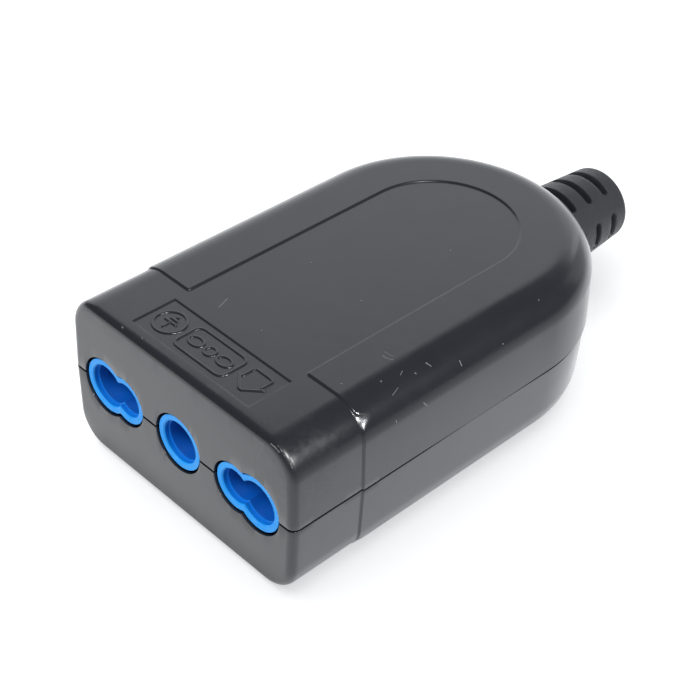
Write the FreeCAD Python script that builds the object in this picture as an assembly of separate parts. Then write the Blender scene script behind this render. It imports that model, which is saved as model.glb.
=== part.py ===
"""Rewireable trailing socket for an earthed two-pole plug of either of two pin pitches.

The socket lies on its lower shell, +Z up. Its face looks along -Y and its strain relief leaves along +Y.
Shapes are worked out from the middle of the socket face, on the plane where the two shells part, and are
moved over the middle of the part's footprint when they are written. Sizes are in millimetres and degrees.
"""
import FreeCAD, Part
import math
import os
from FreeCAD import Vector

# Pins of the plugs that it takes: the poles in line with the earth pin, at either pitch
wide_pitch = 26.0
lobe_spacing = 3.5
wide_pin = 5.0
narrow_pin = 4.0
pin_length = 19.0
pin_clearance = 0.2

# Socket block: sleeves in the face, a flange behind the front wall, and a cell for each contact
mouth_recess = 0.25
mouth_lead_in = 0.15
entry_length = 5.0
sleeve_wall = 0.8
sleeve_gap = 0.3
flange_thickness = 2.0
flange_corner = 2.0
flange_headroom = 1.8
block_clearance = 0.1
cell_wall = 0.9
cell_room = 0.23
web_height = 2.4

# Contacts, bent from brass strip
strip = 0.5
contact_clearance = 0.1
contact_overhang = 1.5
spring_slit = 0.8
contact_band = 2.5
tail_width = 3.6

# Shells
straight_length = 40.9
half_height = 10.8
wall = 1.8
front_wall = 2.2
side_draft = 2.0
long_edge_radius = 4.5
face_edge_radius = 1.0
seam_groove = 0.2
seam_depth = 0.5
rib = 1.4
lip_thickness = 0.8
lip_height = 1.4
lip_clearance = 0.1

# Grip band, which stands proud of the collar at the front and of the arched panel
collar_depth = 10.0
band_height = 0.22
band_slope = 0.25
panel_half_width = 9.75
panel_corner = 0.5

# Rating plate, sunk into the collar of the upper shell
plate_half_width = 9.7
plate_front = 2.0
plate_length = 6.05
plate_depth = 0.15

# Terminals: a brass pillar on the tail of each contact
terminal_width = 6.5
terminal_length = 7.5
terminal_height = 8.0
terminal_drop = 3.8
terminal_gap = 1.4
terminal_clearance = 0.1
tail_reach = 3.0
wire_hole = 3.2
wire_rise = 0.9
terminal_screw_inset = 2.5
cradle_wall = 1.2
cradle_grip = 1.8

# Screws
terminal_screw = 3.0
terminal_screw_head = 4.8
terminal_screw_head_height = 1.8
clamp_screw = 2.6
clamp_screw_head = 5.0
clamp_screw_length = 9.0
case_screw = 2.6
case_screw_head = 5.0
case_screw_length = 10.0
tapping_head_height = 1.7
thread_clearance = 0.05
shank_clearance = 0.3
head_clearance = 0.25
driver_slot = 0.7
driver_depth = 0.9
driver_cross = 3.0
boss_wall = 1.2
case_screw_x = 6.4
case_screw_seat = 5.0
case_screw_room = 0.5

# Strain relief and the clamp in front of it
cable = 6.4
cable_clearance = 0.2
notch_clearance = 0.6
relief_root = 12.0
relief_tip = 9.84
relief_reach = 13.75
relief_end_radius = 0.9
relief_ease = 0.3
relief_flange = 14.4
relief_flange_thickness = 1.5
relief_clearance = 0.1
slot_rings = 3
slot_first = 3.55
slot_pitch = 3.45
slot_width = 1.3
slot_bridge = 32.0
slot_over = 76.0
clamp_length = 6.0
clamp_strap = 1.8
clamp_gap = 1.5
clamp_post_x = 8.4
clamp_post = 5.2

# Pitch of the thin pins, and radii of the pin holes and of what lies round them
narrow_pitch = wide_pitch - 2 * lobe_spacing
wide_bore = wide_pin / 2 + pin_clearance
narrow_bore = narrow_pin / 2 + pin_clearance
wide_contact = wide_pin / 2 + strip
narrow_contact = narrow_pin / 2 + strip
wide_cell = wide_contact + contact_clearance
narrow_cell = narrow_contact + contact_clearance

# Where the two lobes of a pole contact meet, and the height of the earth contact's tail, mid strip
wide_middle = wide_contact - strip / 2
narrow_middle = narrow_contact - strip / 2
neck = (lobe_spacing ** 2 + narrow_middle ** 2 - wide_middle ** 2) / (2 * lobe_spacing)
pole_x = narrow_pitch / 2 + neck
pole_z = -math.sqrt(narrow_middle ** 2 - neck ** 2)
earth_z = -wide_middle

# Widths and heights of the shells, at the parting plane
inner_half_width = wide_pitch / 2 + wide_cell + cell_wall + cell_room
core_half_width = inner_half_width + wall
body_half_width = core_half_width + band_height
core_height = half_height - band_height
cavity_height = core_height - wall
terminal_top = terminal_height - terminal_drop
body_length = straight_length + body_half_width
draft = math.tan(math.radians(side_draft))

# Places along the socket, from its face
flange_front = front_wall + block_clearance
flange_back = flange_front + flange_thickness
entry_end = mouth_recess + entry_length
block_end = pin_length + contact_clearance
contact_front = entry_end + contact_clearance
contact_end = block_end + contact_overhang
terminal_front = contact_end + terminal_gap
terminal_back = terminal_front + terminal_length
terminal_screw_y = terminal_back - terminal_screw_inset
case_boss = case_screw_head / 2 + head_clearance + boss_wall
case_screw_y = terminal_back + terminal_clearance + cradle_wall + case_boss + case_screw_room
relief_flange_radius = relief_flange / 2
relief_seat_radius = inner_half_width - relief_flange_radius * draft
relief_seat_depth = math.sqrt(relief_seat_radius ** 2 - relief_flange_radius ** 2) - relief_clearance
relief_seat = straight_length + relief_seat_depth
relief_flange_back = relief_seat - relief_clearance
relief_flange_front = relief_flange_back - relief_flange_thickness
relief_rib_back = relief_flange_front - relief_clearance
clamp_back = relief_rib_back - rib - clamp_gap
clamp_y = clamp_back - clamp_length / 2
overall_length = body_length + relief_reach

SIDES = (-1, 1)
ALONG = Vector(0, 1, 0)
UP = Vector(0, 0, 1)
CENTRE = Vector(0, 0, 0)


def box(x_range, y_range, z_range):
    """Block between two limits on each axis."""
    low = Vector(x_range[0], y_range[0], z_range[0])
    size = (x_range[1] - x_range[0], y_range[1] - y_range[0], z_range[1] - z_range[0])
    return Part.makeBox(*size, low)


def rod(radius, x, z, y_range):
    """Round bar along the socket."""
    return Part.makeCylinder(radius, y_range[1] - y_range[0], Vector(x, y_range[0], z), ALONG)


def post(radius, x, y, z_range):
    """Round bar standing on end."""
    return Part.makeCylinder(radius, z_range[1] - z_range[0], Vector(x, y, z_range[0]), UP)


def joined(shapes):
    """One solid from shapes that meet."""
    return shapes[0].fuse(list(shapes[1:])).removeSplitter()


def path(points):
    """Closed wire through points, where a point given as a pair is the middle and the end of an arc."""
    edges = []
    last = points[0]
    for point in points[1:] + [points[0]]:
        if isinstance(point, tuple):
            edges.append(Part.Arc(last, point[0], point[1]).toShape())
            last = point[1]
        else:
            edges.append(Part.makeLine(last, point))
            last = point
    return Part.Wire(edges)


# Cross-sections of the shells, drawn for the upper one

def edge_arc(half_width, height, radius, y):
    """Start, middle and end of the long edge's arc, tangent to the leaning side and to the flat."""
    lean = math.radians(side_draft)
    z = height - radius
    x = half_width - (radius + z * math.sin(lean)) / math.cos(lean)
    angles = (lean, (lean + math.pi / 2) / 2, math.pi / 2)
    return [Vector(x + radius * math.cos(a), y, z + radius * math.sin(a)) for a in angles]


def mirrored(point):
    """The point on the other side of the socket's middle plane."""
    return Vector(-point.x, point.y, point.z)


def section(half_width, height, radius, y):
    """Whole cross-section, from the rim on the parting plane up to the flat."""
    side, middle, crown = edge_arc(half_width, height, radius, y)
    rim = Vector(half_width, y, 0)
    left_arc = (mirrored(middle), mirrored(side))
    return path([mirrored(rim), rim, side, (middle, crown), mirrored(crown), left_arc])


def half_section(half_width, height, radius, y):
    """Right half of the cross-section, to be turned about the upright axis of the round end."""
    side, middle, crown = edge_arc(half_width, height, radius, y)
    return path([Vector(0, y, 0), Vector(half_width, y, 0), side, (middle, crown), Vector(0, y, height)])


def round_ended(half_width, height, radius, front):
    """Straight body with a half-round end, both of the same cross-section."""
    straight = Part.Face(section(half_width, height, radius, front))
    straight = straight.extrude(ALONG * (straight_length - front))
    end = Part.Face(half_section(half_width, height, radius, straight_length))
    end = end.revolve(Vector(0, straight_length, 0), UP, 180)
    return straight.fuse(end)


def plan(half_width, front, height):
    """Plate on the parting plane in the outline of the body: straight sides and a half-round end."""
    right = Vector(half_width, straight_length, 0)
    apex = Vector(0, straight_length + half_width, 0)
    corners = (Vector(-half_width, front, 0), Vector(half_width, front, 0))
    return Part.Face(path([*corners, right, (apex, mirrored(right))])).extrude(UP * height)


def behind(y, height):
    """Everything above the parting plane and beyond a place along the socket."""
    return box((-body_half_width, body_half_width), (y, body_length), (0, height))


def pin_holes(wide_radius, narrow_radius, y_range):
    """Earth hole and the two dual-pitch pole holes, as solids."""
    shapes = [rod(wide_radius, 0, 0, y_range)]
    for side in SIDES:
        wide = rod(wide_radius, side * wide_pitch / 2, 0, y_range)
        narrow = rod(narrow_radius, side * narrow_pitch / 2, 0, y_range)
        shapes.append(wide.fuse(narrow))
    return shapes


# Outside of a shell

def collar():
    """Front of the shell, with rounded edges round the socket face."""
    outline = section(core_half_width, core_height, long_edge_radius - band_height, 0)
    block = Part.Face(outline).extrude(ALONG * collar_depth)
    in_face = [e for e in block.Edges if e.CenterOfMass.y < face_edge_radius]
    round_face = [e for e in in_face if e.CenterOfMass.z > seam_groove]
    return block.makeFillet(face_edge_radius, round_face)


def grip():
    """Body behind the collar: a short slope up to the band, then the band to the round end."""
    band_front = collar_depth + band_slope
    low = section(core_half_width, core_height, long_edge_radius - band_height, collar_depth)
    high = section(body_half_width, half_height, long_edge_radius, band_front)
    slope = Part.makeLoft([low, high], True, True)
    return slope.fuse(round_ended(body_half_width, half_height, long_edge_radius, band_front))


def panel_outline(spread, z):
    """Arched panel's outline, open to the collar, with the band's two front corners rounded."""
    inner = panel_half_width + spread
    outer = panel_half_width + panel_corner
    radius = outer - inner
    bend = radius * math.sqrt(0.5)
    step = collar_depth + spread
    corner_middle = Vector(outer - bend, step + radius - bend, z)
    corner_end = Vector(inner, step + radius, z)
    side = Vector(inner, straight_length, z)
    apex = Vector(0, straight_length + inner, z)
    front = Vector(outer, collar_depth - panel_corner, z)
    foot = Vector(outer, step, z)
    right = [front, foot, (corner_middle, corner_end), side]
    left_corner = (mirrored(corner_middle), mirrored(foot))
    left = [(apex, mirrored(side)), mirrored(corner_end), left_corner, mirrored(front)]
    return path(right + left)


def panel_cut():
    """What is taken off the grip for the panel: its sides slope as the band's front edge does."""
    low = panel_outline(0, core_height)
    high = panel_outline(band_slope, half_height)
    sloped = Part.makeLoft([low, high], True, True)
    above = Part.Face(high).extrude(UP * band_height)
    return sloped.fuse(above)


def shell_outside():
    """Collar and grip, with the panel let into the grip."""
    return joined([collar(), grip()]).cut(panel_cut())


# Inside of a shell

def cavity():
    """Room inside a shell, up to the flat wall that the strain relief's flange seats on."""
    room = round_ended(inner_half_width, cavity_height, long_edge_radius - wall, front_wall)
    return room.cut(behind(relief_seat, half_height))


def seam_cut():
    """Shallow groove round the outside of the rim, half of it in each shell."""
    outside = plan(2 * body_half_width, -front_wall, seam_groove / 2)
    return outside.cut(plan(core_half_width - seam_depth, seam_depth, seam_groove / 2))


def shell_blank():
    """Shell with its half of the pin holes and of the strain relief's hole, still without bosses and ribs."""
    openings = pin_holes(wide_bore + sleeve_wall + sleeve_gap, narrow_bore + sleeve_wall + sleeve_gap,
                         (-front_wall, 2 * front_wall))
    relief_hole = rod(relief_root / 2 + relief_clearance, 0, 0, (relief_seat - rib, body_length + rib))
    return shell_outside().cut([cavity(), seam_cut(), relief_hole, *openings])


def cross_rib(half_width, front, foot):
    """Rib across a shell, from height foot up into its wall."""
    across = box((-half_width, half_width), (front, front + rib), (foot, half_height))
    return across.common(round_ended(core_half_width, core_height, long_edge_radius, front_wall))


def flange_rib():
    """Rib behind the socket block's flange, clear of the cells."""
    return cross_rib(body_half_width, flange_back + block_clearance, wide_cell + cell_wall + block_clearance)


def terminal_rib():
    """Rib that keeps the terminals down in their cradles, in front of their screws."""
    return cross_rib(pole_x + terminal_width / 2, terminal_front, terminal_top + terminal_clearance)


def relief_rib():
    """Rib in front of the strain relief's flange, with a half-round notch for the cable."""
    front = relief_rib_back - rib
    notch = rod(cable / 2 + notch_clearance, 0, 0, (front, relief_rib_back))
    return cross_rib(relief_flange_radius, front, 0).cut(notch)


def upper_shell():
    """Cover, with the rating plate, the rebate for the lower shell's lip, and a boss for each case screw."""
    plate = box((-plate_half_width, plate_half_width), (plate_front, plate_front + plate_length),
                (core_height - plate_depth, half_height))
    rebate = plan(inner_half_width + lip_thickness + lip_clearance, front_wall, lip_height + lip_clearance)
    rebate = rebate.cut(behind(relief_seat, half_height))
    bosses = [post(case_boss - boss_wall, side * case_screw_x, case_screw_y, (0, core_height - wall / 2))
              for side in SIDES]
    shell = shell_blank().cut(rebate)
    shell = joined([shell, flange_rib(), terminal_rib(), relief_rib(), *bosses])
    pilot_depth = case_screw_length - case_screw_seat + wall
    pilots = [post(case_screw / 2 + thread_clearance, side * case_screw_x, case_screw_y, (-wall, pilot_depth))
              for side in SIDES]
    return shell.cut([plate, *pilots])


def lip():
    """Rim that stands up inside the upper shell's side walls and lines the two shells up."""
    outer = plan(inner_half_width + lip_thickness, front_wall + lip_clearance, lip_height)
    inner = plan(inner_half_width, 0, lip_height)
    return outer.cut([inner, behind(relief_seat - lip_clearance, lip_height)])


def cradle(x):
    """Pocket on the lower shell's floor that holds a terminal, open towards its contact."""
    half = terminal_width / 2 + terminal_clearance
    back = terminal_back + terminal_clearance
    floor = -core_height + wall / 2
    top = -terminal_drop + cradle_grip
    outer = half + cradle_wall
    walls = box((x - outer, x + outer), (terminal_front, back + cradle_wall), (floor, top))
    pocket = box((x - half, x + half), (terminal_front - cradle_wall, back), (-cavity_height, top))
    ledges = [box((x - half, x + half), (y, y + cradle_wall), (floor, -terminal_drop))
              for y in (terminal_front, terminal_back - cradle_wall)]
    return joined([walls.cut(pocket), *ledges])


def clamp_seat():
    """Two posts for the clamp's screws and a notched rib between them that the cable lies on."""
    floor = -core_height + wall / 2
    posts = [post(clamp_post / 2, side * clamp_post_x, clamp_y, (floor, 0)) for side in SIDES]
    saddle = box((-clamp_post_x, clamp_post_x), (clamp_y - rib / 2, clamp_y + rib / 2), (floor, 0))
    saddle = saddle.cut(rod(cable / 2, 0, 0, (clamp_y - rib, clamp_y + rib)))
    return [*posts, saddle]


def lower_shell():
    """Base, with the terminals' cradles, the clamp's seat and the case screws' bosses and recesses."""
    shell = shell_blank().mirror(CENTRE, UP)
    ribs = [r.mirror(CENTRE, UP) for r in (flange_rib(), relief_rib())]
    boss_range = (-core_height + wall / 2, 0)
    bosses = [post(case_boss, side * case_screw_x, case_screw_y, boss_range) for side in SIDES]
    cradles = [cradle(x) for x in (-pole_x, 0, pole_x)]
    shell = joined([shell, lip(), *ribs, *bosses, *cradles, *clamp_seat()])
    cuts = []
    for side in SIDES:
        x = side * case_screw_x
        recess_radius = case_screw_head / 2 + head_clearance
        cuts.append(post(recess_radius, x, case_screw_y, (-2 * half_height, -case_screw_seat)))
        cuts.append(post(case_screw / 2 + shank_clearance, x, case_screw_y, (-half_height, wall)))
        pilot = (clamp_strap - clamp_screw_length - wall / 2, wall)
        cuts.append(post(clamp_screw / 2 + thread_clearance, side * clamp_post_x, clamp_y, pilot))
    return shell.cut(cuts)


# Socket block and contacts

def mouth_cone(radius, x):
    """Lead-in round one pin hole, up to the sleeve's rim."""
    return Part.makeCone(radius + mouth_lead_in, radius, mouth_lead_in, Vector(x, mouth_recess, 0), ALONG)


def flange():
    """Plate behind the front wall, with rounded corners."""
    half_up = cavity_height - flange_headroom
    half_across = inner_half_width - half_up * draft - block_clearance
    plate = box((-half_across, half_across), (flange_front, flange_back), (-half_up, half_up))
    corners = [e for e in plate.Edges if e.BoundBox.YLength > e.Length / 2]
    return plate.makeFillet(flange_corner, corners)


def socket_block():
    """Insulating block with three sleeves in front of its flange and three contact cells behind."""
    sleeves = pin_holes(wide_bore + sleeve_wall, narrow_bore + sleeve_wall, (mouth_recess, flange_back))
    cells = pin_holes(wide_cell + cell_wall, narrow_cell + cell_wall, (flange_front, block_end))
    web = box((-wide_pitch / 2, wide_pitch / 2), (flange_front, block_end), (-web_height / 2, web_height / 2))
    block = joined([flange(), web, *sleeves, *cells])
    entries = pin_holes(wide_bore, narrow_bore, (0, entry_end + contact_clearance))
    rooms = pin_holes(wide_cell, narrow_cell, (entry_end, block_end + contact_overhang))
    cones = [mouth_cone(wide_bore, 0)]
    for side in SIDES:
        wide = mouth_cone(wide_bore, side * wide_pitch / 2)
        cones.append(wide.fuse(mouth_cone(narrow_bore, side * narrow_pitch / 2)))
    return block.cut([*entries, *rooms, *cones])


def tail(x, z):
    """Tongue from the closed end of a contact into its terminal, centred at height z."""
    y_range = (block_end + contact_clearance, terminal_front + tail_reach)
    return box((x - tail_width / 2, x + tail_width / 2), y_range, (z - strip / 2, z + strip / 2))


def slits():
    """Level cut that frees the upper and lower springs of every contact, up to the band at its closed end."""
    half = spring_slit / 2
    return box((-wide_pitch, wide_pitch), (entry_end, contact_end - contact_band), (-half, half))


def earth_contact():
    """Spring sleeve for the earth pin."""
    ring = rod(wide_contact, 0, 0, (contact_front, contact_end))
    ring = ring.cut([rod(wide_pin / 2, 0, 0, (entry_end, contact_end + strip)), slits()])
    return joined([ring, tail(0, earth_z)])


def pole_contact(side):
    """Spring strip of two lobes, one for each pin pitch, with a tail that is clear of both pins."""
    y_range = (contact_front, contact_end)
    through = (entry_end, contact_end + strip)
    wide_x = side * wide_pitch / 2
    narrow_x = side * narrow_pitch / 2
    lobes = [rod(wide_contact, wide_x, 0, y_range), rod(narrow_contact, narrow_x, 0, y_range)]
    inside = [rod(wide_pin / 2, wide_x, 0, through), rod(narrow_pin / 2, narrow_x, 0, through)]
    return joined([*lobes, tail(side * pole_x, pole_z)]).cut([*inside, slits()])


# Terminals, clamp and screws

def terminal(x, tail_z):
    """Brass pillar with a slot for the contact's tail, a wire hole from the back and a screw hole on top."""
    half = terminal_width / 2
    pillar = box((x - half, x + half), (terminal_front, terminal_back), (-terminal_drop, terminal_top))
    slot_half = tail_width / 2 + terminal_clearance
    slot_end = terminal_front + tail_reach + terminal_clearance
    slot_up = strip / 2 + terminal_clearance
    slot_height = (tail_z - slot_up, tail_z + slot_up)
    slot = box((x - slot_half, x + slot_half), (terminal_front, slot_end), slot_height)
    wire = rod(wire_hole / 2, x, wire_rise, (terminal_front, terminal_back))
    thread = post(terminal_screw / 2 + thread_clearance, x, terminal_screw_y, (wire_rise, terminal_top))
    return pillar.cut([slot, wire, thread])


def slotted_screw(x):
    """Cheese-head screw standing on a terminal, its tip just above the middle of the wire hole."""
    y = terminal_screw_y
    z = terminal_top
    shank = post(terminal_screw / 2, x, y, (wire_rise + thread_clearance, z))
    head = post(terminal_screw_head / 2, x, y, (z, z + terminal_screw_head_height))
    slot = box((x - driver_slot / 2, x + driver_slot / 2), (y - terminal_screw_head, y + terminal_screw_head),
               (z + terminal_screw_head_height - driver_depth, z + terminal_screw_head_height))
    return joined([shank, head.cut(slot)])


def cross_screw(x, y, z, size, head, length, way):
    """Pan-head tapping screw whose head bears at height z and whose shank runs up (way 1) or down (-1)."""
    rim = tapping_head_height / 2
    crown = head / 2 - rim / 2
    body = post(size / 2, 0, 0, (0, length))
    pan = post(head / 2, 0, 0, (-rim, 0))
    dome = Part.makeCone(crown, head / 2, rim, Vector(0, 0, -tapping_head_height), UP)
    arm = driver_cross / 2
    depth = (-tapping_head_height, driver_depth - tapping_head_height)
    cross = [box((-arm, arm), (-driver_slot / 2, driver_slot / 2), depth),
             box((-driver_slot / 2, driver_slot / 2), (-arm, arm), depth)]
    screw = joined([body, pan, dome]).cut(cross)
    if way < 0:
        screw = screw.mirror(CENTRE, UP)
    screw.translate(Vector(x, y, z))
    return screw


def clamp_screws():
    """Screws that hold the clamp down on its posts."""
    return [cross_screw(side * clamp_post_x, clamp_y, clamp_strap, clamp_screw, clamp_screw_head,
                        clamp_screw_length, -1) for side in SIDES]


def case_screws():
    """Screws that hold the two shells together, driven from below."""
    return [cross_screw(side * case_screw_x, case_screw_y, -case_screw_seat, case_screw, case_screw_head,
                        case_screw_length, 1) for side in SIDES]


def cable_clamp():
    """Strap arched over the cable, with a flat foot on each post."""
    inner = cable / 2
    outer = inner + clamp_strap
    reach = clamp_post_x + clamp_post / 2
    y_range = (clamp_y - clamp_length / 2, clamp_back)
    feet = box((-reach, reach), y_range, (0, clamp_strap))
    arch = rod(outer, 0, 0, y_range).common(box((-outer, outer), y_range, (0, outer)))
    strap = joined([feet, arch]).cut(rod(inner, 0, 0, y_range))
    hole = clamp_screw / 2 + shank_clearance
    return strap.cut([post(hole, side * clamp_post_x, clamp_y, (0, clamp_strap)) for side in SIDES])


# Strain relief

def slot_cutter(y, middle_angle, angle):
    """Ring sector with round ends, from inside the bore to outside the sleeve, that cuts one slot."""
    inner = cable / 2 - slot_width
    end_radius = slot_width / 2
    corners = [(inner, y - end_radius), (relief_root, y - end_radius),
               (relief_root, y + end_radius), (inner, y + end_radius)]
    profile = Part.Face(path([Vector(r, place, 0) for r, place in corners]))
    turn = angle - 2 * math.degrees(math.asin(slot_width / relief_root))
    sector = profile.revolve(CENTRE, ALONG, -turn)
    near_end = Part.makeCylinder(end_radius, relief_root, Vector(0, y, 0), Vector(1, 0, 0))
    far_end = near_end.copy()
    far_end.rotate(CENTRE, ALONG, -turn)
    cutter = joined([sector, near_end, far_end])
    cutter.rotate(CENTRE, ALONG, turn / 2 - middle_angle)
    return cutter


def strain_relief():
    """Tapered sleeve, held by its flange inside the shells, with rings of slots that let it bend.

    Its bore guides the cable as far as the shells reach and is eased from there on.
    """
    bore = cable / 2 + cable_clearance
    eased = bore + relief_ease
    root = relief_root / 2
    tip = relief_tip / 2
    points = [(bore, relief_flange_front), (relief_flange_radius, relief_flange_front),
              (relief_flange_radius, relief_flange_back), (root, relief_flange_back), (root, body_length),
              (tip, overall_length), (eased, overall_length), (eased, body_length), (bore, body_length)]
    sleeve = Part.Face(path([Vector(r, place, 0) for r, place in points])).revolve(CENTRE, ALONG, 360)
    at_end = [e for e in sleeve.Edges if e.CenterOfMass.y > overall_length - relief_end_radius]
    sleeve = sleeve.makeFillet(relief_end_radius, [max(at_end, key=lambda e: e.Length)])
    slot_side = 180 - slot_over - 2 * slot_bridge
    cuts = []
    for ring in range(slot_rings):
        y = body_length + slot_first + ring * slot_pitch
        for middle_angle, angle in ((0, slot_side), (90, slot_over), (180, slot_side), (270, slot_over)):
            cuts.append(slot_cutter(y, middle_angle, angle))
    return sleeve.cut(cuts)


def write(name, shapes):
    """Write a node's solids, moved so that the part stands on its base over the middle of its footprint."""
    group = Part.makeCompound([solid for shape in shapes for solid in shape.Solids])
    group.translate(Vector(0, -overall_length / 2, half_height))
    group.exportStep(os.path.join("parts", name + ".step"))


os.makedirs("parts", exist_ok=True)
write("upper_shell", [upper_shell()])
write("lower_shell", [lower_shell()])
write("socket_block", [socket_block()])
write("left_contact", [pole_contact(-1)])
write("right_contact", [pole_contact(1)])
write("earth_contact", [earth_contact()])
write("left_terminal", [terminal(-pole_x, pole_z)])
write("right_terminal", [terminal(pole_x, pole_z)])
write("earth_terminal", [terminal(0, earth_z)])
write("terminal_screws", [slotted_screw(x) for x in (-pole_x, 0, pole_x)])
write("cable_clamp", [cable_clamp()])
write("clamp_screws", clamp_screws())
write("case_screws", case_screws())
write("strain_relief", [strain_relief()])
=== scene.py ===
import math

import bmesh
import bpy
import numpy as np
from mathutils import Matrix, Quaternion, Vector


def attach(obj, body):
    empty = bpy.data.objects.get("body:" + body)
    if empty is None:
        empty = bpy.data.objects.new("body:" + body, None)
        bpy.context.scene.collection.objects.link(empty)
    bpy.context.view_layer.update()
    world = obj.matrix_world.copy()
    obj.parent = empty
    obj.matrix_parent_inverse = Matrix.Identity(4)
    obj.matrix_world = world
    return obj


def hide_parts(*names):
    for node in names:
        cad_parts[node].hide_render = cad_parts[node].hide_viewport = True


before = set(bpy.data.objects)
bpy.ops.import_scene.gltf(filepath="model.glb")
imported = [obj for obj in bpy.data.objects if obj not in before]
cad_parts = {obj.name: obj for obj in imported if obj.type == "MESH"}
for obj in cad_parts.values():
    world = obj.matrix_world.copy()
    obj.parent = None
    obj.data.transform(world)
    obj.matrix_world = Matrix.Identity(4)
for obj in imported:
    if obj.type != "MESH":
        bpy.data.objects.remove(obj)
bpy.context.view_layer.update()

# Upper and lower case. Two black halves, moulded from a hard plastic with a semi-gloss skin, that part at
# half height. A proud band runs round the grip, edges are softly rounded as the mould leaves them, and two
# screws from below hold the halves together round everything else.
millimetre = 0.001
# Sizes of pieces are in millimetres, measured from the middle of the socket face at half height.
face_middle = np.array((0, -36.95, 10.8))
half_width, crown, long_edge, face_edge = 19.029, 10.58, 4.28, 1.0
lean = math.radians(2.0)
case_wall, front_wall, straight = 1.8, 2.2, 40.9
band_front, band_inside, band_corner, band_lift = 10.0, 9.75, 0.5, 0.205
step_width, step_lead = 0.31, 0.03
roll_width, roll_middle, roll_spread, roll_haste = 1.9, 0.66, 0.15, 0.3
plate_side, plate_front, plate_back, plate_sink, plate_slope = 9.7, 2.0, 8.05, 0.15, 0.2
pole_x, lobe_x, wide_hole, narrow_hole = 13.0, 9.5, 3.8, 3.3
right_holes = [(lobe_x, narrow_hole), (pole_x, wide_hole)]
left_holes = [(-x, radius) for x, radius in right_holes[::-1]]
face_holes = np.array(left_holes + [(0.0, wide_hole)] + right_holes)
lobes_apart = pole_x - lobe_x
lobe_cusp = pole_x - (lobes_apart ** 2 + wide_hole ** 2 - narrow_hole ** 2) / (2 * lobes_apart)
relief_hole = 6.1
rim_round, least_round, round_share = 0.06, 0.012, 0.6
screw_x, screw_y, well_room, well_rows = 6.4, 35.25, 3.0, 6
pillar_foot, upper_pillar, thread_hole, thread_depth = 0.05, 2.75, 1.35, 6.8
lower_pillar, shank_hole, head_seat = 2.98, 1.6, 5.0
head_well = [(2.75, 10.4), (2.79, 10.49), (2.86, 10.55), (2.97, 10.58)]
upper_over, lower_short = 0.25, 0.1
arc_x = half_width - (long_edge + (crown - long_edge) * math.sin(lean)) / math.cos(lean)
arc_z = crown - long_edge
fine = 0.05
SIDE, ARC, FLAT = 0, 1, 2


def plain_shader(name, roughness):
    """New material with one roughness: the material, its surface shader and the Object coordinates."""
    made = bpy.data.materials.new(name)
    made.use_nodes = True
    nodes = made.node_tree.nodes
    surface = nodes["Principled BSDF"]
    surface.inputs["Roughness"].default_value = roughness
    return made, surface, nodes.new("ShaderNodeTexCoord").outputs["Object"]


def feed(value, entry):
    """Put a node's output, a number or a plain colour into an entry of another node."""
    if isinstance(value, bpy.types.NodeSocket):
        value.id_data.links.new(value, entry)
    else:
        entry.default_value = (*value, 1) if isinstance(value, tuple) else value


def cloud(place, waves, detail):
    """Noise of that many waves in a metre."""
    noise = place.id_data.nodes.new("ShaderNodeTexNoise")
    feed(waves, noise.inputs["Scale"])
    feed(detail, noise.inputs["Detail"])
    feed(place, noise.inputs["Vector"])
    return noise.outputs["Fac"]


def between(value, low, high, start=0.3, end=0.7):
    """The value from start to end, spread over low to high."""
    spread = value.id_data.nodes.new("ShaderNodeMapRange")
    feed(start, spread.inputs["From Min"])
    feed(end, spread.inputs["From Max"])
    feed(low, spread.inputs["To Min"])
    feed(high, spread.inputs["To Max"])
    feed(value, spread.inputs["Value"])
    return spread.outputs["Result"]


def tones(value, first, second):
    """Colour that goes from the first, plain or made by nodes, to the second with the value."""
    mix = value.id_data.nodes.new("ShaderNodeMix")
    mix.data_type = "RGBA"
    feed(value, mix.inputs["Factor"])
    feed(first, mix.inputs["A"])
    feed(second, mix.inputs["B"])
    return mix.outputs["Result"]


def mottled(place, waves, detail, dark, light):
    """Colour that wanders between two tones with a cloud."""
    return tones(between(cloud(place, waves, detail), 0, 1), dark, light)


def uneven(place, waves, detail, low, high):
    """Number that wanders between two others with a cloud."""
    return between(cloud(place, waves, detail), low, high)


def bumpy(surface, height, depth):
    """Bump of that depth in metres on a surface."""
    bump = height.id_data.nodes.new("ShaderNodeBump")
    feed(depth, bump.inputs["Distance"])
    feed(height, bump.inputs["Height"])
    feed(bump.outputs["Normal"], surface.inputs["Normal"])


def reckoned(operation, first, second):
    """A node's output multiplied by, or added to, another or a number."""
    sums = first.id_data.nodes.new("ShaderNodeMath")
    sums.operation = operation
    feed(first, sums.inputs[0])
    feed(second, sums.inputs[1])
    return sums.outputs["Value"]


def measured(place, operation, point):
    """Distance of each place from a point, or its dot product with it."""
    ruler = place.id_data.nodes.new("ShaderNodeVectorMath")
    ruler.operation = operation
    ruler.inputs[1].default_value = point
    feed(place, ruler.inputs[0])
    return ruler.outputs["Value"]


shell_black, skin, place = plain_shader("shell_black", roughness=0.26)
skin.inputs["IOR"].default_value = 1.5
skin_tone = mottled(place, waves=90, detail=3, dark=(0.0130, 0.0154, 0.0212), light=(0.0155, 0.0179, 0.0242))
feed(skin_tone, skin.inputs["Base Color"])
worn_corner, worn_within, worn_until = (0.0182, -0.0352, 0.0186), 0.003, 0.0085
worn_patch = between(measured(place, "DISTANCE", worn_corner), 1, 0, worn_within, worn_until)
scratched = between(cloud(place, waves=1600, detail=4), 0.06, 0.15, 0.35, 0.65)
gloss = uneven(place, waves=420, detail=5, low=0.20, high=0.25)
feed(reckoned("ADD", gloss, reckoned("MULTIPLY", worn_patch, scratched)), skin.inputs["Roughness"])
bumpy(skin, cloud(place, waves=140, detail=2), depth=0.00003)


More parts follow.
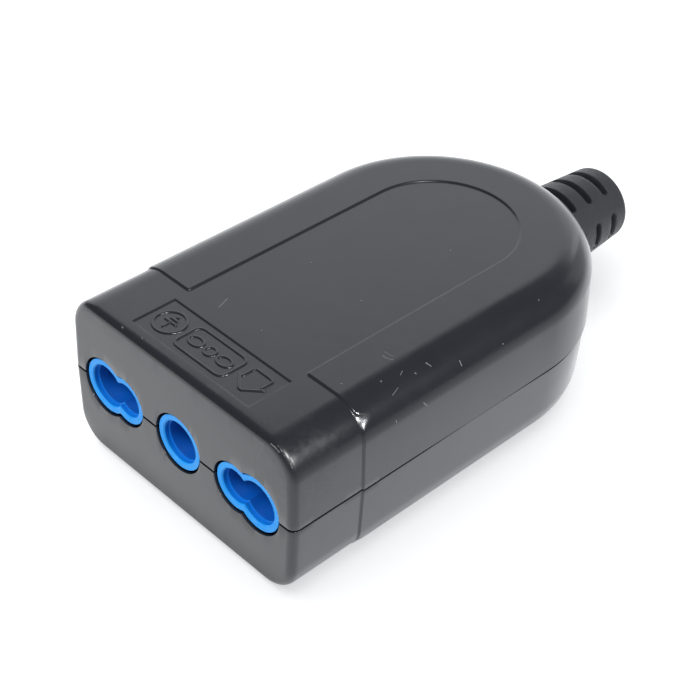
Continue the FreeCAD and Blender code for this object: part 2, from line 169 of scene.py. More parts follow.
def ease(u):
    """Smooth step: nought up to 0, one from 1 on, three u squared less two u cubed between."""
    u = np.clip(u, 0, 1)
    return u * u * (3 - 2 * u)


def section_lines():
    """Lines of half a cross-section, from the rim up the leaning side, over the arc and in to the middle.

    Each has a kind, a place on its stretch and its outward normal. Lines lie closer where the face's holes
    end and where the band and the plate have their edges.
    """
    sweep = np.radians(np.arange(0, 181, 11.25))
    marks = np.array([lobe_cusp, screw_x - well_room, screw_x + well_room])
    holes = np.concatenate([x + radius * np.cos(sweep) for x, radius in face_holes] + [marks])
    holes = np.unique(np.round(holes[(holes >= 0) & (holes < pole_x + wide_hole + 0.01)], 3))
    turned = np.arccos((holes[holes > arc_x + fine] - arc_x) / (long_edge - face_edge))
    arc = np.unique(np.round(np.concatenate([np.linspace(lean, np.pi / 2, 22), turned]), 4))
    edges = band_inside + fine * np.arange(-6, 12)
    flat = np.concatenate([holes[holes < arc_x - fine], edges, np.arange(0, 14.5, 0.75)])
    flat = np.unique(np.round(flat, 2))[::-1]
    side = np.linspace(0, 1, 10)[:-1]
    kind = np.repeat([SIDE, ARC, FLAT], [len(side), len(arc), len(flat)])
    spot = np.concatenate([side, arc, flat])
    normal_angle = np.where(kind == SIDE, lean, np.where(kind == ARC, spot, np.pi / 2))
    return kind, spot, np.cos(normal_angle), np.sin(normal_angle)


def outline_lines():
    """Lines along the case, from the right front round the end to the left front.

    Each has a place y, a heading across the case and the angle of the face's rounding. Lines lie closer at
    the plate's edges, at the band's step and round the screws.
    """
    turn = np.radians([0, 12, 24, 36, 48, 60, 75, 90])
    plate_lines = [plate_front + fine * np.arange(-4, 5), np.arange(3, 8),
                   plate_back + fine * np.arange(-4, 6)]
    step_lines = [band_front + fine * np.arange(-10, 19), band_front + 1 + 0.15 * np.arange(10)]
    well_lines = screw_y + np.arange(-well_room, well_room + 1)
    grip_lines = [np.arange(12.5, 32, 1.5), well_lines, np.array([9.0, 39.5, straight])]
    y = np.unique(np.round(np.concatenate(plate_lines + step_lines + grip_lines), 3))
    y = np.concatenate([face_edge * (1 - np.cos(turn)), y])
    turn = np.concatenate([turn, np.full(len(y) - len(turn), np.pi / 2)])
    mouth = np.arccos(relief_hole * np.cos(np.radians(np.arange(0, 181, 12))) / half_width)
    round_end = np.unique(np.round(np.concatenate([np.linspace(0, np.pi, 61)[1:-1], mouth]), 3))
    n = len(round_end)
    heading = np.concatenate([np.zeros(len(y)), round_end, np.full(len(y), np.pi)])
    place = np.concatenate([y, np.full(n, straight), y[::-1]])
    return place, heading, np.concatenate([turn, np.full(n, np.pi / 2), turn[::-1]])


def half_gap(y, heading):
    """Half of the seam's gap: widest at the face, almost shut in the grip, wider again round its end."""
    end_radius = 19
    round_run = straight + end_radius * np.minimum(heading, np.pi - heading)
    run = np.where((heading > 0) & (heading < np.pi), round_run, y)
    runs = [0, 10, 14, 19, 22, 27, 32, 36, 41, 46, 52, 60]
    gaps = [0.13, 0.11, 0.10, 0.085, 0.05, 0.012, 0.015, 0.04, 0.09, 0.10, 0.06, 0.04]
    return np.interp(run, runs, gaps)


def hole_edge(x, gap):
    """Lower edge of the face's upper half at x, over holes and seam, and the way out of the plastic there.

    The edge is the highest of the holes' circles and the gap. The way is the mean of their normals, drawn
    out so that it reaches as far along each of them.
    """
    touching = 0.03
    reach = face_holes[:, 1] ** 2 - (x[:, None] - face_holes[:, 0]) ** 2
    z = np.maximum(np.sqrt(np.maximum(reach, 0)).max(1), gap)
    away = np.stack([face_holes[:, 0] - x[:, None], -np.repeat(z[:, None], len(face_holes), 1)], -1)
    far = np.linalg.norm(away, axis=-1)
    near = np.abs(far - face_holes[:, 1]) < touching
    at_seam = np.abs(z - gap) < touching
    total = (near[..., None] * away / far[..., None]).sum(1) + at_seam[:, None] * np.array([0, -1])
    count = near.sum(1) + at_seam
    return z, total * (count / np.maximum((total ** 2).sum(1), 1e-9))[:, None]


def grid_faces(index):
    """Four-sided faces between the rows and columns of a grid of point numbers."""
    return np.stack([index[:-1, :-1], index[1:, :-1], index[1:, 1:], index[:-1, 1:]], -1).reshape(-1, 4)


def skin_lift(kind, spot, y, end, upper):
    """How far the skin stands off the core's section, for each line along by each line across.

    The band rises by an eased step behind its front and outside its inner edge, which meet in a round
    corner. A bell curve draws the step out at the middle of the long edge's arc. The upper half's plate is
    sunk by another eased step.
    """
    deep_inside = 30
    along = np.where(end, deep_inside, y - band_front)[:, None]
    inward = np.where(kind == FLAT, spot - band_inside, deep_inside)[None, :]
    corner = band_corner - np.hypot(band_corner - along, band_corner - inward)
    in_corner = (along < band_corner) & (inward < band_corner)
    into = np.where(in_corner, corner, np.minimum(along, inward))
    roll = np.where(kind == ARC, np.exp(-((spot - roll_middle) / roll_spread) ** 2), 0)[None, :]
    rise = np.clip((into + step_lead) / (step_width + roll_width * roll), 0, 1)
    lift = band_lift * ease(rise ** (1 - roll_haste * roll))
    if upper:
        plate = np.minimum(plate_side - spot, np.minimum(y - plate_front, plate_back - y)[:, None])
        lift = lift - plate_sink * ease(plate / plate_slope + 0.5) * (kind == FLAT) * ~end[:, None]
    return lift


def front_rows(face, back, gap, bend):
    """Rows of points that close the front on one side, from the face's rounded edge to the inner skin.

    They run in straight lines to the edge of the holes and the seam, round it by a quarter circle, and go
    back through the front wall.
    """
    hole_z, way = hole_edge(face[:, 0], gap)
    low = np.stack([face[:, 0], 0 * hole_z, hole_z], -1)
    way = np.stack([way[:, 0], 0 * hole_z, way[:, 1]], -1)
    share = np.linspace(0, 1, 5)[:, None, None]
    bend = bend[::-1, None, None]
    rounded = low - rim_round * (1 - np.sin(bend)) * way + (1 - np.cos(bend)) * (0, rim_round, 0)
    held = np.clip(face[:, 0], -abs(back[0, 0]), abs(back[0, 0]))
    through = np.stack([held, np.full(len(held), front_wall), hole_edge(held, gap)[0]], -1)
    level = face + share * (low - rim_round * way - face)
    return np.concatenate([level, rounded, through[None], back[None]])


def border(block):
    """Point numbers once round the edge of a block."""
    return np.concatenate([block[0, :-1], block[:-1, -1], block[-1, :0:-1], block[:0:-1, 0]])


def case_half(upper):
    """Points and faces of one half, drawn as the upper one.

    Every line across runs from the inner middle down the inner wall, over the rounded rim, up the outside
    and in to the outer middle: the core's section plus the skin's lift, less the rounding of the face, along
    its normal. The face closes the front round its holes, and at each screw rings of points lead from the
    flat into its pillar, and on the lower half through to its well.
    """
    kind, spot, normal_x, normal_z = section_lines()
    y, heading, turn = outline_lines()
    y = y + (upper_over if upper else -lower_short) * (y > screw_y + well_room)
    gap = half_gap(y, heading)
    toward = np.stack([np.cos(heading), np.sin(heading)], -1)
    end = (heading > 0) & (heading < np.pi)
    rim_x = np.where(end, half_width * np.cos(heading), half_width)
    rim = np.maximum(gap, np.sqrt(np.maximum(relief_hole ** 2 - rim_x ** 2, 0)))[:, None]
    soft = np.minimum(rim_round, least_round + round_share * gap)[:, None]
    flat = kind == FLAT

    def stretch(depth, foot):
        """The section, set in by a depth, with its side starting from a foot."""
        top = arc_z + (long_edge - depth) * math.sin(lean)
        side_z = foot + spot * (top - foot)
        x = np.where(flat, spot, arc_x + (long_edge - depth) * np.cos(spot))
        z = np.where(flat, crown - depth, arc_z + (long_edge - depth) * np.sin(spot))
        x = np.where(kind == SIDE, half_width - math.tan(lean) * side_z - depth / math.cos(lean), x)
        return x, np.where(kind == SIDE, side_z, z + 0 * side_z)

    def stand(x, z, place):
        """Points from distances along each line's heading, heights and places along the case."""
        return np.stack([x * toward[:, :1], place[:, None] + x * toward[:, 1:], z + 0 * x], -1)

    # The outer and the inner skin, and the rounded rim between them.
    proud = skin_lift(kind, spot, y, end, upper) - (face_edge * (1 - np.sin(turn)))[:, None]
    x, z = stretch(0, rim + soft)
    x = x + proud * normal_x
    outer = stand(x, z + proud * np.where(kind == SIDE, spot, 1) * normal_z, y)
    inner = stand(*stretch(case_wall, rim), np.maximum(y, front_wall))
    bend = np.radians([90, 60, 30])
    outward = np.stack([np.cos(heading) * np.sin(turn), np.where(end, np.sin(heading), -np.cos(turn))], -1)
    rounded = np.repeat(stand(x[:, :1], rim, y), len(bend), 1)
    rounded[..., :2] -= soft[..., None] * (1 - np.cos(bend))[None, :, None] * outward[:, None, :]
    rounded[..., 2] += soft * (1 - np.sin(bend))
    wall = np.concatenate([inner[:, ::-1], rounded, outer], 1)
    lines, across = wall.shape[:2]
    points = [wall.reshape(-1, 3)]
    number = np.arange(lines * across).reshape(lines, across)
    count = number.size
    keep = np.ones((lines - 1, across - 1), bool)
    faces = []

    # The front, on the right and on the left.
    half = len(spot)
    for line in (0, lines - 1):
        rows = front_rows(outer[line], inner[line], gap[line], bend)
        faces.append(grid_faces(np.arange(len(rows) * half).reshape(-1, half) + count))
        points.append(rows.reshape(-1, 3))
        count += len(rows) * half

    # The screws' pillars, as rings of a radius at a height, on the right and on the left.
    inner_flat = crown - case_wall
    if upper:
        rings = [(upper_pillar, inner_flat), (upper_pillar, pillar_foot), (thread_hole, pillar_foot),
                 (thread_hole, thread_depth), (0.0, thread_depth)]
    else:
        rings = [(lower_pillar, inner_flat), (lower_pillar, pillar_foot), (shank_hole, pillar_foot),
                 (shank_hole, head_seat), (head_well[0][0], head_seat)] + head_well
    rings = np.array(rings)
    left, right = np.searchsorted(-spot[flat], [-screw_x - well_room, well_room - screw_x]) + np.argmax(flat)
    inside_from, outside_from = half - 1 - right, half + len(bend) + left
    ahead = y[:lines // 2]
    first = np.searchsorted(ahead, screw_y - well_room - fine)
    last = np.searchsorted(ahead, screw_y + well_room - fine)
    for start in (first, lines - 1 - last):
        for opening in [inside_from] if upper else [inside_from, outside_from]:
            keep[start:start + well_rows, opening:opening + right - left] = False
        along = slice(start, start + well_rows + 1)
        inside = number[along, inside_from:half - left][:, ::-1]
        outside = number[along, outside_from:outside_from + right - left + 1]
        middle = np.array([math.copysign(screw_x, wall[start, outside_from, 0]), screw_y])
        ends = border(inside)
        around = points[0][ends][:, :2] - middle
        around = around / np.linalg.norm(around, axis=1)[:, None]
        heights = np.repeat(rings[:, None, 1:], len(ends), 1)
        chain = np.arange(len(rings) * len(ends)).reshape(len(rings), -1) + count
        chain = np.concatenate([ends[None], chain] + ([] if upper else [border(outside)[None]]), 0)
        faces.append(grid_faces(np.concatenate([chain, chain[:, :1]], 1)))
        points.append(np.concatenate([middle + rings[:, None, :1] * around, heights], -1).reshape(-1, 3))
        count += len(rings) * len(ends)

    main = grid_faces(number).reshape(lines - 1, across - 1, 4)[keep]
    return np.concatenate(points), np.concatenate([main] + faces)


def closed_piece(name, points, faces):
    """Object from points in millimetres from the face's middle: doubles merged, faces outward, smooth."""
    made = bpy.data.meshes.new(name)
    made.from_pydata(((points + face_middle) * millimetre).tolist(), [], faces.tolist())
    work = bmesh.new()
    work.from_mesh(made)
    bmesh.ops.remove_doubles(work, verts=work.verts, dist=1e-6)
    bmesh.ops.dissolve_degenerate(work, edges=work.edges, dist=1e-7)
    bmesh.ops.recalc_face_normals(work, faces=work.faces)
    work.to_mesh(made)
    work.free()
    made.shade_smooth()
    made.set_sharp_from_angle(angle=math.radians(40))
    piece = bpy.data.objects.new(name, made)
    bpy.context.scene.collection.objects.link(piece)
    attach(piece, "root")
    return piece


for name, node, sign in (("upper_case", "upper_shell", 1), ("lower_case", "lower_shell", -1)):
    points, faces = case_half(sign > 0)
    case = closed_piece(name, points * (1, 1, sign), faces)
    even = case.modifiers.new("even_normals", "WEIGHTED_NORMAL")
    even.keep_sharp = True
    case.data.materials.append(shell_black)
    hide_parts(node)

# Plate signs. Raised lines moulded on the rating plate: a house, the socket's face and an earth sign in a
# ring, upright when read from behind. They are the shell's own plastic, half a tube standing on the plate.
sign_half, sign_height = 0.22, 0.13
plate_middle, plate_floor = 5.02, crown - plate_sink
sign_x = 6.9
house = [[(-1.5, 0.2), (-1.5, -1.8), (1.5, -1.8), (1.5, 0.2)], [(-2.1, -0.1), (0, 1.9), (2.1, -0.1)]]
earth_stem = [(0, 1.25), (0, -0.1)]
earth_bars = [[(-half, z), (half, z)] for half, z in ((1.1, -0.1), (0.7, -0.65), (0.3, -1.2))]
ring_radius = 1.95
frame_x, frame_z, frame_corner = 3.2, 1.2, 0.9
pole_mark, mark_x, mark_height = 1.05, 2.35, 0.72


def line_tube(path, up, half, height, closed=False):
    """Flattened tube along a path.

    At each place an ellipse stands across the path, half its width to the side and its height along the
    normal. Its size follows a quarter circle at both ends, which so close in a point. A closed path meets
    itself.
    """
    path = np.array(path, float)
    up = np.broadcast_to(np.array(up, float), path.shape)
    run = np.concatenate([[0], np.cumsum(np.linalg.norm(np.diff(path, axis=0), axis=1))])
    swing = np.radians([0, 20, 45, 70, 90])
    nudge, longest_cap = 0.02, run[-1] / 2.2
    if closed:
        far = np.linspace(0, run[-1], 61)
        size = np.ones(len(far))
    else:
        cap = np.minimum(half, longest_cap) * (1 - np.cos(swing))
        body = np.linspace(cap[-1], run[-1] - cap[-1], 14)[1:-1]
        far = np.concatenate([cap, body, run[-1] - cap[::-1]])
        size = np.concatenate([np.sin(swing), np.ones(len(body)), np.sin(swing[::-1])])

    def along(values, d):
        """Values at distances along the path."""
        d = d % run[-1] if closed else np.clip(d, 0, run[-1])
        return np.stack([np.interp(d, run, values[:, k]) for k in range(3)], -1)

    spot, normal = along(path, far), along(up, far)
    ahead = along(path, far + nudge) - along(path, far - nudge)
    sideways = np.cross(normal, ahead)
    sideways /= np.linalg.norm(sideways, axis=1)[:, None]
    ring = np.linspace(0, 2 * np.pi, 13)[None, :-1, None]
    shape = half * np.cos(ring) * sideways[:, None] + height * np.sin(ring) * normal[:, None]
    points = spot[:, None] + size[:, None, None] * shape
    index = np.arange(points[..., 0].size).reshape(len(far), -1)
    return points.reshape(-1, 3), grid_faces(np.concatenate([index, index[:, :1]], 1))


def gathered(tubes):
    """One set of points and faces from many."""
    starts = np.cumsum([0] + [len(points) for points, faces in tubes[:-1]])
    return (np.concatenate([points for points, faces in tubes]),
            np.concatenate([faces + start for start, (points, faces) in zip(starts, tubes)]))


def oval(x, width, height, turn=np.linspace(0, 2 * np.pi, 49)):
    """Points of an ellipse, or of a stretch of it, round a place on the plate's middle line."""
    return np.stack([x + width * np.cos(turn), height * np.sin(turn)], -1)


corner_turn = np.radians(np.arange(0, 91, 15))
frame_line = [oval(side_x * frame_x, frame_corner, frame_corner, corner_turn + quarter * np.pi / 2)
              + (0, side_z * frame_z)
              for side_x, side_z, quarter in ((1, 1, 0), (-1, 1, 1), (-1, -1, 2), (1, -1, 3))]
frame_line = np.concatenate(frame_line + [frame_line[0][:1]])
marks = [oval(-mark_x, pole_mark, mark_height), oval(0, mark_height, mark_height),
         oval(mark_x, pole_mark, mark_height)]
drawn = [(-sign_x, line, False) for line in house]
drawn += [(sign_x, line, False) for line in [earth_stem] + earth_bars]
drawn += [(sign_x, oval(0, ring_radius, ring_radius), True)]
drawn += [(0, line, True) for line in [frame_line] + marks]
tubes = []
for middle, line, closed in drawn:
    line = np.array(line, float)
    x, y = -(middle + line[:, 0]), plate_middle - line[:, 1]
    path = np.stack([x, y, np.full(len(line), plate_floor)], -1)
    tubes.append(line_tube(path, (0, 0, 1), sign_half, sign_height, closed))
signs = closed_piece("plate_signs", *gathered(tubes))
signs.data.materials.append(shell_black)

# Scuffs. Short scratches and nicks where the shells' skin is rubbed to a pale grey, most of them along the
# right edge and the grip; three at the right front corner also paint in the glint along its edge. Thin
# slivers of the same plastic, almost flush with the skin.
scuff_and_glint_pale, pale_surface, place = plain_shader("scuff_and_glint_pale", roughness=0.7)
pale_tone = mottled(place, waves=3000, detail=3, dark=(0.12, 0.124, 0.128), light=(0.24, 0.245, 0.25))
feed(pale_tone, pale_surface.inputs["Base Color"])
feed(uneven(place, waves=5000, detail=2, low=0.5, high=0.8), pale_surface.inputs["Roughness"])
scuff_height = 0.012
edge_radius = long_edge + band_lift
band_top = crown + band_lift
# On the flats and the corner each scratch has a path, at the corner a normal too, and half its width.
panel_scratches = [([(-5.30, 10.70), (-5.50, 11.31), (-5.91, 12.55)], 0.045)]
band_scratches = [
    ([(13.21, 18.28), (13.81, 18.30), (14.33, 18.55), (14.50, 18.70)], 0.045),
    ([(12.87, 18.93), (13.60, 18.97), (14.20, 19.13)], 0.03),
]
panel_nicks = [(0.95, 11.45), (4.29, 38.44), (-4.81, 24.36), (4.34, 23.61)]
band_nicks = [(13.59, 11.59)]
nick_half, nick_x, nick_y = 0.07, 0.12, 0.16
for scratches, nicks in ((panel_scratches, panel_nicks), (band_scratches, band_nicks)):
    scratches += [([(x, y), (x + nick_x, y + nick_y)], nick_half) for x, y in nicks]
# The first three lie along the right front corner's edge where it glints: pale scuffs that are partly a
# painted highlight.
corner_scuffs_and_glint = [
    ([(15.16, 0.21, 10.14), (15.71, 0.25, 10.06), (16.47, 0.27, 9.75)], (0.2, -0.74, 0.64), 0.06),
    ([(15.91, 0.50, 10.20), (16.52, 0.50, 9.93), (17.06, 0.43, 9.51)], (0.37, -0.59, 0.72), 0.05),
    ([(17.20, 0.58, 9.51), (17.78, 0.60, 8.93), (18.10, 0.59, 8.47)], (0.72, -0.38, 0.58), 0.05),
    ([(-9.85, 0.54, 10.46), (-9.50, 0.50, 10.44)], (0, -0.5, 0.87), 0.07),
    ([(-6.75, 0.89, 10.57), (-6.50, 0.87, 10.57)], (0, -0.13, 0.99), 0.07),
]
# On the long edge it has the angle from upright and the place of both ends, and half its width.
edge_scratches = [
    (29, 21.46, 38, 21.82, 0.05), (51, 25.58, 61, 25.62, 0.06), (78, 19.12, 88, 19.70, 0.06),
    (44, 15.45, 39, 16.60, 0.035), (78, 14.94, 84, 14.90, 0.05), (26, 17.74, 22, 18.37, 0.03),
    (19, 15.22, 19, 15.42, 0.09), (65, 32.19, 65, 32.39, 0.08), (37, 39.69, 37, 39.89, 0.08),
    (33, 19.47, 36, 19.60, 0.06),
]
tubes = []
for scratches, z in ((panel_scratches, crown), (band_scratches, band_top)):
    for path, half in scratches:
        tubes.append(line_tube([(x, y, z) for x, y in path], (0, 0, 1), half, scuff_height))
for path, up, half in corner_scuffs_and_glint:
    tubes.append(line_tube(path, up, half, scuff_height))
for first, start, last, stop, half in edge_scratches:
    swing = np.radians(np.linspace(first, last, 7))
    up = np.stack([np.sin(swing), 0 * swing, np.cos(swing)], -1)
    path = up * edge_radius + (arc_x, 0, arc_z)
    path[:, 1] = np.linspace(start, stop, 7)
    tubes.append(line_tube(path, up, half, scuff_height))
scuffs_and_glint = closed_piece("shell_scuffs_and_glint", *gathered(tubes))
scuffs_and_glint.data.materials.append(scuff_and_glint_pale)


# Socket block. One blue moulding behind the front wall, whose three sleeves stand in the socket face.
# Its skin is duller than the shells'; painted shade darkens its blue in two steps deeper inside the sleeves.
def finish(node, material):
    """Give one of the loaded solids its own material."""
    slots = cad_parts[node].data.materials
    slots.clear()
    slots.append(material)


def behind_face(y):
    """A distance behind the face, as a place along the part in metres."""
    return (y + face_middle[1]) * millimetre


rim_depth, ledge_depth, change = 0.35, 0.95, 0.2
block_blue, dye, place = plain_shader("block_blue", roughness=0.45)
dye.inputs["Specular IOR Level"].default_value = 0.3
blue = mottled(place, waves=260, detail=4, dark=(0.010, 0.33, 0.95), light=(0.016, 0.37, 0.98))
parted = place.id_data.nodes.new("ShaderNodeSeparateXYZ")
feed(place, parted.inputs["Vector"])
# Painted shade: the blue turns darker in two steps, behind the rims and behind the ledges, deeper in the
# bores.
for depth, painted_shade in ((rim_depth, (0.004, 0.205, 0.74)), (ledge_depth, (0.001, 0.095, 0.46))):
    behind = between(parted.outputs["Y"], 0, 1, behind_face(depth), behind_face(depth + change))
    blue = tones(behind, blue, painted_shade)
feed(blue, dye.inputs["Base Color"])
feed(uneven(place, waves=900, detail=3, low=0.40, high=0.52), dye.inputs["Roughness"])
finish("socket_block", block_blue)
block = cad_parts["socket_block"]

# Sleeve ledges. A thin step inside each of the block's three sleeves, where the mouth narrows to the pins'
# size. They are moulded with the block, from the same blue plastic.
mouth_margin, ledge_step, ledge_sink, ledge_back = 1.1, 0.17, 0.02, 5.2
lobe_cross = 10.9
edge_round = ((0.05, 0), (0.015, 0.015), (0, 0.05))
ledge_edge = [(ledge_step - inset, ledge_depth + drop) for inset, drop in edge_round]
ledge_profile = np.array([(-ledge_sink, ledge_depth)] + ledge_edge
                         + [(ledge_step, ledge_back), (-ledge_sink, ledge_back)])


def ring_faces(rows, around):
    """Faces of a grid of points that closes both ways."""
    index = np.arange(rows * around).reshape(rows, around)
    index = np.concatenate([index, index[:1]], 0)
    return grid_faces(np.concatenate([index, index[:, :1]], 1))


def ledge_surface(lobes, middle):
    """Points and faces of one ledge: a closed profile carried round the outline of a hole.

    Seen from the middle, the outline is the farthest of the lobes' circles in each direction. The profile
    steps in from the sleeve's wall, rounds its edge and runs back along the hole.
    """
    around = np.radians(np.arange(0, 360, 3.0))[:, None]
    size = lobes[:, 1] - mouth_margin - ledge_profile[:, :1]
    aside = lobes[:, 0] - middle
    reach = aside * np.cos(around) + np.sqrt(size[:, None, :] ** 2 - (aside * np.sin(around)) ** 2)
    radius = reach.max(-1)
    x, z = middle + radius * np.cos(around[:, 0]), radius * np.sin(around[:, 0])
    points = np.stack([x, ledge_profile[:, 1:] + 0 * x, z], -1)
    return points.reshape(-1, 3), ring_faces(*radius.shape)


rings = [ledge_surface(face_holes[:2], -lobe_cross), ledge_surface(face_holes[2:3], 0),
         ledge_surface(face_holes[3:], lobe_cross)]
ledges = closed_piece("sleeve_ledges", *gathered(rings))
ledges.data.materials.append(block_blue)

# Contacts and terminals. Springs bent from brass strip, and the brass pillar at the tail of each.
# The strip keeps the fine lines of its rolling, and its colour is a little uneven.
brass, metal, place = plain_shader("contact_brass", roughness=0.3)
metal.inputs["Metallic"].default_value = 1.0
tarnish = mottled(place, waves=350, detail=4, dark=(0.62, 0.42, 0.15), light=(0.74, 0.54, 0.22))
feed(tarnish, metal.inputs["Base Color"])
feed(uneven(place, waves=1500, detail=3, low=0.22, high=0.4), metal.inputs["Roughness"])
bumpy(metal, cloud(place, waves=2600, detail=2), depth=0.000004)
for pole in ("left", "right", "earth"):
    finish(pole + "_contact", brass)
    finish(pole + "_terminal", brass)

# Screws of the terminals, the clamp and the case. They are cold-headed steel, zinc plated, with a faint
# yellow cast.
steel, plated, place = plain_shader("screw_steel", roughness=0.32)
plated.inputs["Metallic"].default_value = 1.0
bloom = mottled(place, waves=700, detail=4, dark=(0.50, 0.50, 0.49), light=(0.62, 0.61, 0.57))
feed(bloom, plated.inputs["Base Color"])
feed(uneven(place, waves=2200, detail=3, low=0.25, high=0.42), plated.inputs["Roughness"])
for node in ("terminal_screws", "clamp_screws", "case_screws"):
    finish(node, steel)

# Cable clamp. A moulded strap of tough black plastic, duller than the shells, that two screws press down
# across the cord's way.
clamp_black, strap, place = plain_shader("clamp_black", roughness=0.5)
grain = mottled(place, waves=1200, detail=4, dark=(0.018, 0.019, 0.021), light=(0.026, 0.027, 0.030))
feed(grain, strap.inputs["Base Color"])
feed(uneven(place, waves=2000, detail=3, low=0.42, high=0.58), strap.inputs["Roughness"])
finish("cable_clamp", clamp_black)

# Strain relief. A soft black sleeve with three rings of slots, held by its flange inside the shells.
# The soft plastic has a matt skin, a little greyer than the shells.
relief_black, soft, place = plain_shader("relief_black", roughness=0.55)
matt = mottled(place, waves=300, detail=4, dark=(0.0150, 0.0172, 0.0225), light=(0.0188, 0.0212, 0.0268))
feed(matt, soft.inputs["Base Color"])
feed(uneven(place, waves=1800, detail=3, low=0.46, high=0.6), soft.inputs["Roughness"])
bumpy(soft, cloud(place, waves=2400, detail=3), depth=0.00001)
sleeve_bore, sleeve_mouth, sleeve_root, sleeve_tip, tip_round = 3.4, 3.7, 6.05, 5.01, 0.9
flange_radius, flange_front, flange_back = 7.2, 54.576, 56.076
sleeve_foot, sleeve_end = 60.15, 73.9
slot_width, slot_lip, slot_share = 0.86, 0.42, 0.62
slot_places = sleeve_foot + np.array([3.55, 7.0, 10.45])
# The middle of each slot round the sleeve, and half the angle that it spans.
slot_angles = np.radians([(0, 15.5), (90, 33.5), (180, 15.5), (270, 33.5)])


def sleeve_surface():
    """Points and faces of the sleeve: a closed profile turned round the length, less the slots.

    Each slot is the band within half its width of an arc, with round ends. Across its lip the radius falls
    by an eased step, to a share of the wall that is left over the mouth. The tip's outer edge is a quarter
    circle.
    """
    lip = slot_lip * np.linspace(-0.5, 0.5, 9)
    near = np.concatenate([slot_width / 2 + lip, np.linspace(-0.3, 0.3, 5), -slot_width / 2 + lip])
    taper_end = sleeve_end - tip_round
    taper = np.concatenate([(slot_places[:, None] + near).ravel(), np.arange(sleeve_foot, taper_end, 0.45)])
    taper = np.unique(np.round(taper, 3))
    slope = (sleeve_tip - sleeve_root) / (sleeve_end - sleeve_foot)
    bend = np.radians(np.arange(0, 91, 10))
    tip_radius = sleeve_root + slope * (taper_end - sleeve_foot)
    inside = [(sleeve_mouth, sleeve_end), (sleeve_mouth, sleeve_foot), (sleeve_bore, sleeve_foot)]
    before = [(sleeve_bore, flange_front), (flange_radius, flange_front), (flange_radius, flange_back),
              (sleeve_root, flange_back)]
    tip = np.stack([tip_radius - tip_round * (1 - np.cos(bend)), taper_end + tip_round * np.sin(bend)], -1)
    outside = np.stack([sleeve_root + slope * (taper - sleeve_foot), taper], -1)
    profile = np.concatenate([before, outside, tip, inside])
    around = np.radians(np.arange(0, 360, 1.25))
    radius, place = np.repeat(profile[:, :1], len(around), 1), profile[:, 1:]
    apart = np.abs((around[:, None] - slot_angles[:, 0] + np.pi) % (2 * np.pi) - np.pi) - slot_angles[:, 1]
    past = sleeve_root * np.maximum(apart, 0).min(1)
    aside = np.abs(place - slot_places).min(1, keepdims=True)
    depth = slot_share * np.maximum(radius - sleeve_mouth, 0)
    cut = ease(0.5 - (np.hypot(past[None, :], aside) - slot_width / 2) / slot_lip)
    on_taper = np.zeros((len(profile), 1))
    on_taper[len(before):len(before) + len(taper)] = 1
    radius = radius - depth * cut * on_taper
    points = np.stack([radius * np.cos(around), place + 0 * radius, radius * np.sin(around)], -1)
    return points.reshape(-1, 3), ring_faces(*radius.shape)


sleeve = closed_piece("relief_sleeve", *sleeve_surface())
sleeve.data.materials.append(relief_black)
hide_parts("strain_relief")

# Table. A white sheet that runs on past the picture, and glows a little towards the camera. To gloss on the
# part it shows a painted glow, brightest on the left and in front, darker towards the back on the right,
# with painted shade close round the part and by its round end. A painted shadow lies on it under the strain
# relief.
reach = 3.0
corners = [(-reach, -reach, 0), (reach, -reach, 0), (reach, reach, 0), (-reach, reach, 0)]
sheet = bpy.data.meshes.new("table")
sheet.from_pydata(corners, [], [(0, 1, 2, 3)])
table = bpy.data.objects.new("table", sheet)
bpy.context.scene.collection.objects.link(table)
white, paper, place = plain_shader("white_sheet", roughness=0.9)
paper.inputs["Specular IOR Level"].default_value = 0.0
paper.inputs["Emission Color"].default_value = (0.97, 0.98, 1.0, 1)
ray = place.id_data.nodes.new("ShaderNodeLightPath").outputs
# What the camera sees: the sheet's white and its glow, both less under the strain relief, where a painted
# shadow lies.
under_relief, shade_full, shade_out = (-0.004, 0.036, 0), 0.001, 0.018
shade_grey, sheet_white, shade_glow, sheet_glow = 0.60, 0.85, 0.40, 0.60
clear = between(measured(place, "DISTANCE", under_relief), 0, 1, shade_full, shade_out)
paper_white = tones(clear, (shade_grey,) * 3, (sheet_white,) * 3)
feed(tones(ray["Is Glossy Ray"], paper_white, (0, 0, 0)), paper.inputs["Base Color"])
shown = reckoned("MULTIPLY", ray["Is Camera Ray"], between(clear, shade_glow, sheet_glow, 0, 1))

to_the_right, ramp_half, left_shade, right_shade = (1, 0.1, 0), 0.15, 0.875, 0.1
# What gloss mirrors, as places from left to right along the ramp and the brightness there.
shades = [(0.55, 0.86), (0.575, 0.82), (0.60, 0.83), (0.615, 0.73), (0.635, 0.50), (0.67, 0.46),
          (0.76, 0.38), (0.98, 0.25)]
fall = place.id_data.nodes.new("ShaderNodeValToRGB")
fall.color_ramp.interpolation = "EASE"
bar = fall.color_ramp.elements
bar[0].color = (left_shade, left_shade, left_shade, 1)
bar[1].color = (right_shade, right_shade, right_shade, 1)
for spot, shade in shades:
    bar.new(spot).color = (shade, shade, shade, 1)
feed(between(measured(place, "DOT_PRODUCT", to_the_right), 0, 1, -ramp_half, ramp_half), fall.inputs["Fac"])
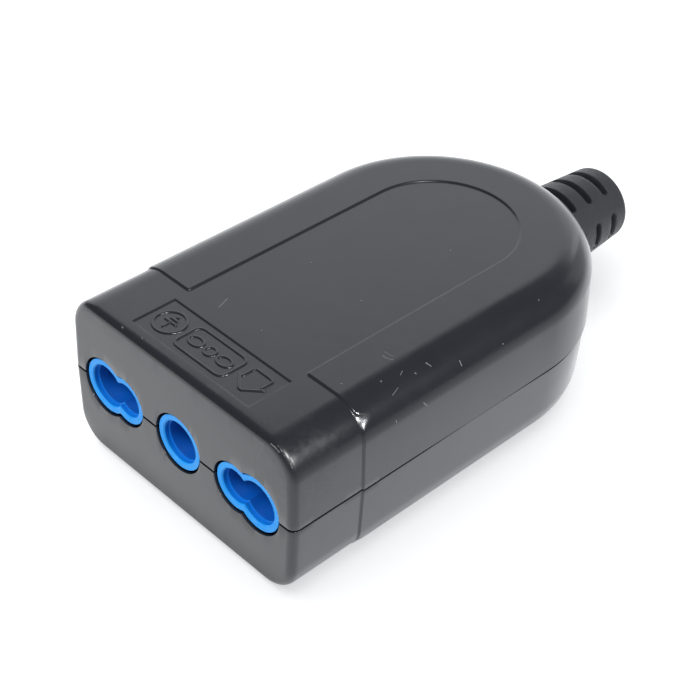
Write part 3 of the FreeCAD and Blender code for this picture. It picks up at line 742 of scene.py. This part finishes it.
# Painted shade in the mirrored glow: darker close round the part, and near the case's round end on the
# right.
contact_shade = place.id_data.nodes.new("ShaderNodeAmbientOcclusion")
contact_shade.inputs["Distance"].default_value = 0.0028
contact_shade.samples = 8
right_end, dim_full, dim_out, dim_least = (0.016, 0.036, 0), 0.006, 0.024, 0.7
end_shade = between(measured(place, "DISTANCE", right_end), dim_least, 1, dim_full, dim_out)
shaded = reckoned("MULTIPLY", end_shade, contact_shade.outputs["AO"])
mirrored = reckoned("MULTIPLY", reckoned("MULTIPLY", fall.outputs["Color"], shaded), ray["Is Glossy Ray"])
mirrored_glow = 2.07
glow = reckoned("ADD", reckoned("MULTIPLY", mirrored, mirrored_glow), shown)
feed(glow, paper.inputs["Emission Strength"])
sheet.materials.append(white)

# Light. A wide soft box low at the back on the left and a faint one behind, a box each for the table and
# for the socket block, two small ones on the right that draw the glints on the edges of the rest, and a dim
# room.
lamp_distance, room_light = 0.8, 0.25


def soft_box(name, toward, width, height, power, lit=None, matt=True, roll=0):
    """Area light that faces the middle of the part, turned by a roll, for all or only the lit pieces."""
    lamp = bpy.data.lights.new(name, "AREA")
    lamp.shape = "RECTANGLE"
    lamp.size = width
    lamp.size_y = height
    lamp.energy = power
    holder = bpy.data.objects.new(name, lamp)
    way = Vector(toward).normalized()
    holder.location = way * lamp_distance
    holder.rotation_mode = "QUATERNION"
    holder.rotation_quaternion = way.to_track_quat("Z", "Y") @ Quaternion((0, 0, 1), math.radians(roll))
    holder.visible_diffuse = matt
    bpy.context.scene.collection.objects.link(holder)
    if lit:
        chosen = bpy.data.collections.new(name + "_falls_on")
        for piece in lit:
            chosen.objects.link(piece)
        holder.light_linking.receiver_collection = chosen
    return lamp


meshes = [piece for piece in bpy.context.scene.objects if piece.type == "MESH"]
rest = [piece for piece in meshes if piece not in (table, block, ledges)]
back_light = soft_box("back_light", (-0.6694, 0.6245, 0.4019), width=1.4, height=0.70, power=3.6, roll=13)
back_light.color = (0.93, 0.955, 1.0)
soft_box("back_fill", (0.101, 0.965, 0.242), width=0.46, height=0.40, power=0.32)
soft_box("table_light", (-0.16, -0.06, 0.98), width=1.2, height=1.2, power=5.3, lit=[table])
soft_box("face_light", (-0.12, -0.62, 0.78), width=0.35, height=0.35, power=4.6, lit=[block, ledges])
soft_box("key_light", (0.63, -0.17, 0.76), width=0.05, height=0.13, power=5.4, lit=rest)
soft_box("side_light", (0.83, 0.17, 0.53), width=0.16, height=0.08, power=3.8, lit=rest, matt=False)
world = bpy.data.worlds.new("room")
bpy.context.scene.world = world
world.use_nodes = True
background = world.node_tree.nodes["Background"]
background.inputs["Color"].default_value = (1, 1, 1, 1)
background.inputs["Strength"].default_value = room_light

# Camera. At the photograph's angle, above the right front corner, turned a little about its own axis.
# Its length is worked out from the sensor's width and from the picture's focal length and width in pixels.
sensor, focal_pixels, picture_pixels = 36.0, 1615.73, 700
eye = (0.106118, -0.118857, 0.132023)
turn, tilt, roll = math.radians(44.3326), math.radians(38.8116), math.radians(2.5985)
camera_data = bpy.data.cameras.new("camera")
camera_data.sensor_width = sensor
camera_data.lens = sensor * focal_pixels / picture_pixels
camera_data.clip_start = 0.01
camera_data.clip_end = 10
camera = bpy.data.objects.new("camera", camera_data)
bpy.context.scene.collection.objects.link(camera)
back = Vector((math.sin(turn) * math.cos(tilt), -math.cos(turn) * math.cos(tilt), math.sin(tilt)))
across = Vector((math.cos(turn), math.sin(turn), 0))
up = back.cross(across)
right = math.cos(roll) * across + math.sin(roll) * up
top = -math.sin(roll) * across + math.cos(roll) * up
pose = Matrix((right, top, back)).transposed().to_4x4()
pose.translation = Vector(eye)
camera.matrix_world = pose
bpy.context.scene.camera = camera
bpy.context.scene.view_settings.view_transform = "Standard"
